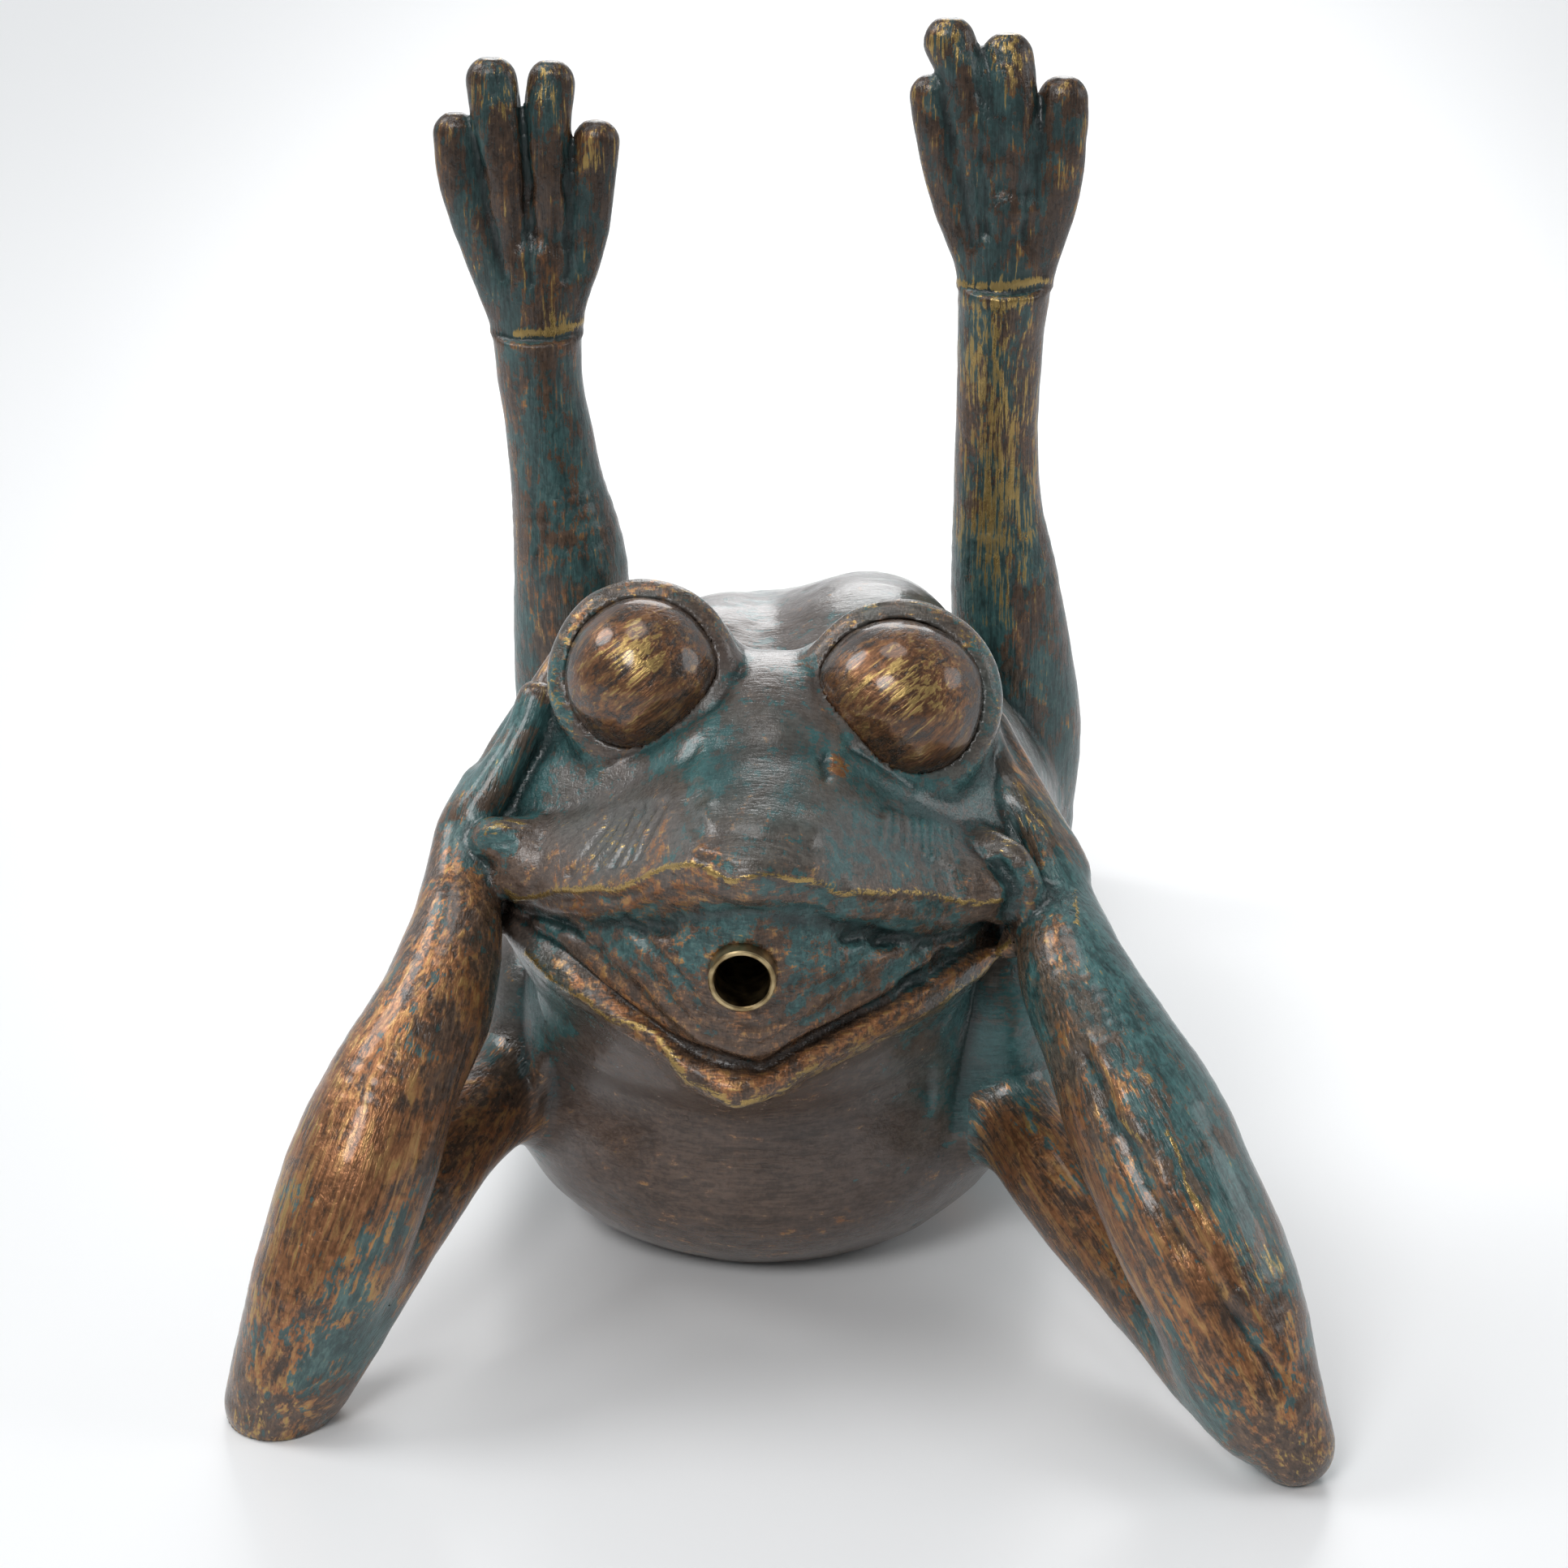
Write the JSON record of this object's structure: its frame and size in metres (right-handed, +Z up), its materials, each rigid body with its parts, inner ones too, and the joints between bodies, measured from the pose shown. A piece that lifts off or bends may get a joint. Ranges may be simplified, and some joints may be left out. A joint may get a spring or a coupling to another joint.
{
  "type": "frog water spitter",
  "caption": "Cast garden frog lying on its belly, chin on its hands and feet in the air, with a brass tube in its mouth that squirts water fed through a hose barb at its rump.",
  "frame": {"origin": "middle of the bounding box, on the surface that the frog lies on", "axes": "+Z up, the frog faces -Y and its own left side is +X"},
  "size_m": [0.1998, 0.2772, 0.2075],
  "materials": {
    "body_bronze": "satin bronze patina on cast resin",
    "limb_verdigris": "satin verdigris patina on cast resin",
    "foot_verdigris": "satin verdigris patina on cast resin",
    "eye_bronze": "glossy rubbed bronze on cast resin",
    "raw_resin": "matte",
    "brass": "polished, dulled by water",
    "steel": "brushed",
    "clear_hose": "satin",
    "black_rubber": "matte"
  },
  "bodies": {
    "root": {"torso": "body_bronze", "head": "body_bronze", "belly_plug": "raw_resin", "right_eye": "eye_bronze", "left_eye": "eye_bronze", "right_forearm": "limb_verdigris", "left_forearm": "limb_verdigris", "right_upper_arm": "limb_verdigris", "left_upper_arm": "limb_verdigris", "right_thigh": "body_bronze", "left_thigh": "body_bronze", "right_shin": "limb_verdigris", "left_shin": "limb_verdigris", "right_foot": "foot_verdigris", "left_foot": "foot_verdigris", "right_shoulder_dowel": "steel", "left_shoulder_dowel": "steel", "right_elbow_pin": "steel", "left_elbow_pin": "steel", "right_hip_dowel": "steel", "left_hip_dowel": "steel", "right_leg_rod": "steel", "left_leg_rod": "steel", "spout_tube": "brass", "supply_hose": "clear_hose", "spout_hose_clamp": "steel", "inlet_hose_clamp": "steel", "inlet_tail": "brass", "inlet_nut": "brass", "inlet_seal": "black_rubber"}
  },
  "joints": []
}
